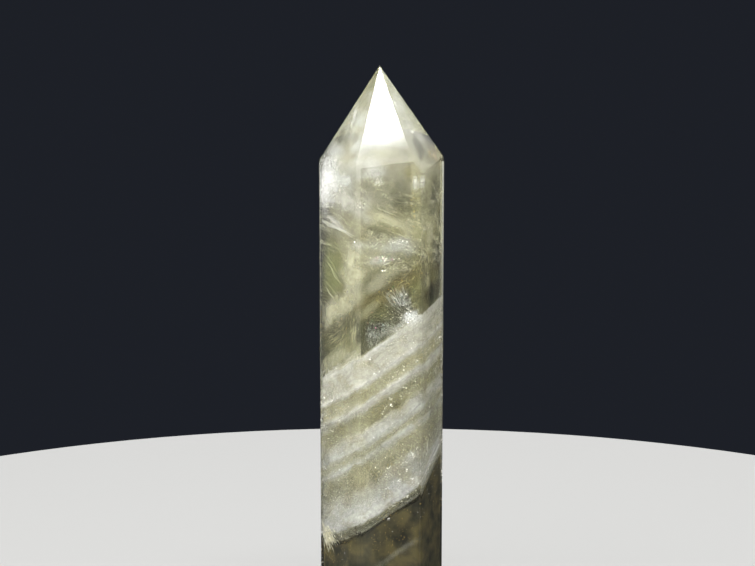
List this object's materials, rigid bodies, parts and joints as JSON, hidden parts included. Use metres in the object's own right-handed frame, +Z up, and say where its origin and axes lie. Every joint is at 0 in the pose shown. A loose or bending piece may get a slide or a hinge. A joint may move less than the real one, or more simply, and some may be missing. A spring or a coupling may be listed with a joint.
{
  "type": "polished crystal point",
  "caption": "Tall see-through citrine point: a hexagonal prism under a six-sided tip, with milky bands and healed cracks, standing on a flat polished base.",
  "frame": {"origin": "centre of the flat base that the crystal stands on", "axes": "+Z up the prism to the tip; the prism face seen from the front looks close to -Y"},
  "size_m": [0.0326, 0.0307, 0.16],
  "materials": {
    "citrine": "polished, see-through pale smoky yellow with milky white bands inside"
  },
  "bodies": {
    "root": {"crystal_point": "citrine"}
  },
  "joints": []
}
